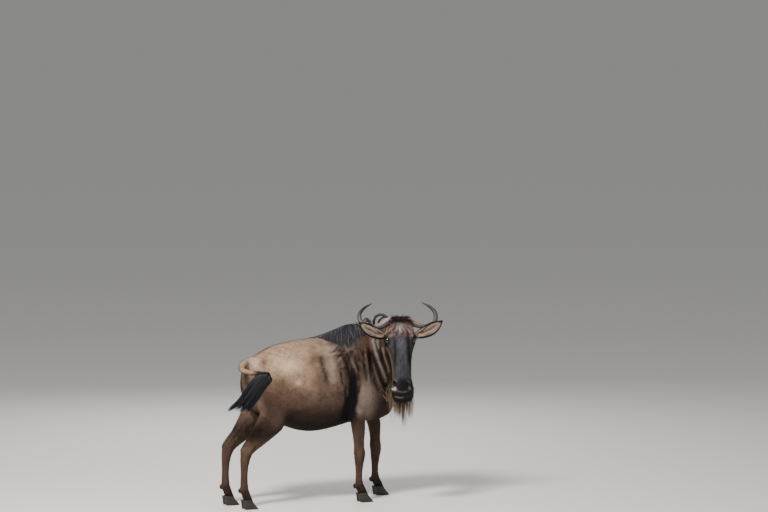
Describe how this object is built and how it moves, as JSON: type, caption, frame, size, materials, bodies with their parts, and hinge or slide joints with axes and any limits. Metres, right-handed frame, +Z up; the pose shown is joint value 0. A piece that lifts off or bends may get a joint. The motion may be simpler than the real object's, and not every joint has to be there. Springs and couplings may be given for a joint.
{
  "type": "wildebeest",
  "caption": "Life-size standing wildebeest that looks back over its right shoulder, with curved horns, a dark mane, a hanging beard and a tasselled tail flicked to the right.",
  "frame": {"origin": "middle of the bounding box's base, on the floor the hooves stand on", "axes": "+X is the way the body points, +Y is the animal's left, +Z is up"},
  "size_m": [1.4508, 0.7624, 1.3429],
  "materials": {
    "hide": "short grey-brown coat, matt",
    "dark_hide": "short dark brown coat, matt",
    "horn": "smooth grey horn, satin",
    "hoof": "dark hoof, satin",
    "eye": "dark brown, wet gloss",
    "black_hair": "long blue-black hair",
    "pale_hair": "long tan hair",
    "brown_hair": "short red-brown hair"
  },
  "bodies": {
    "root": {"torso": "hide", "neck": "hide", "head": "hide", "ear_left": "hide", "ear_right": "hide", "tail_stem": "hide", "foreleg_right_upper": "dark_hide", "foreleg_right_lower": "dark_hide", "foreleg_left_upper": "dark_hide", "foreleg_left_lower": "dark_hide", "hindleg_right_upper": "dark_hide", "hindleg_right_lower": "dark_hide", "hindleg_left_upper": "dark_hide", "hindleg_left_lower": "dark_hide", "claw_foreleg_right_right": "hoof", "claw_foreleg_right_left": "hoof", "claw_foreleg_left_right": "hoof", "claw_foreleg_left_left": "hoof", "claw_hindleg_right_right": "hoof", "claw_hindleg_right_left": "hoof", "claw_hindleg_left_right": "hoof", "claw_hindleg_left_left": "hoof", "horn_left": "horn", "horn_right": "horn", "eye_left": "eye", "eye_right": "eye", "mane_withers": "black_hair", "mane_neck": "black_hair", "tail_tassel": "black_hair", "beard_chin": "pale_hair", "beard_throat": "pale_hair", "forelock": "brown_hair"}
  },
  "joints": []
}
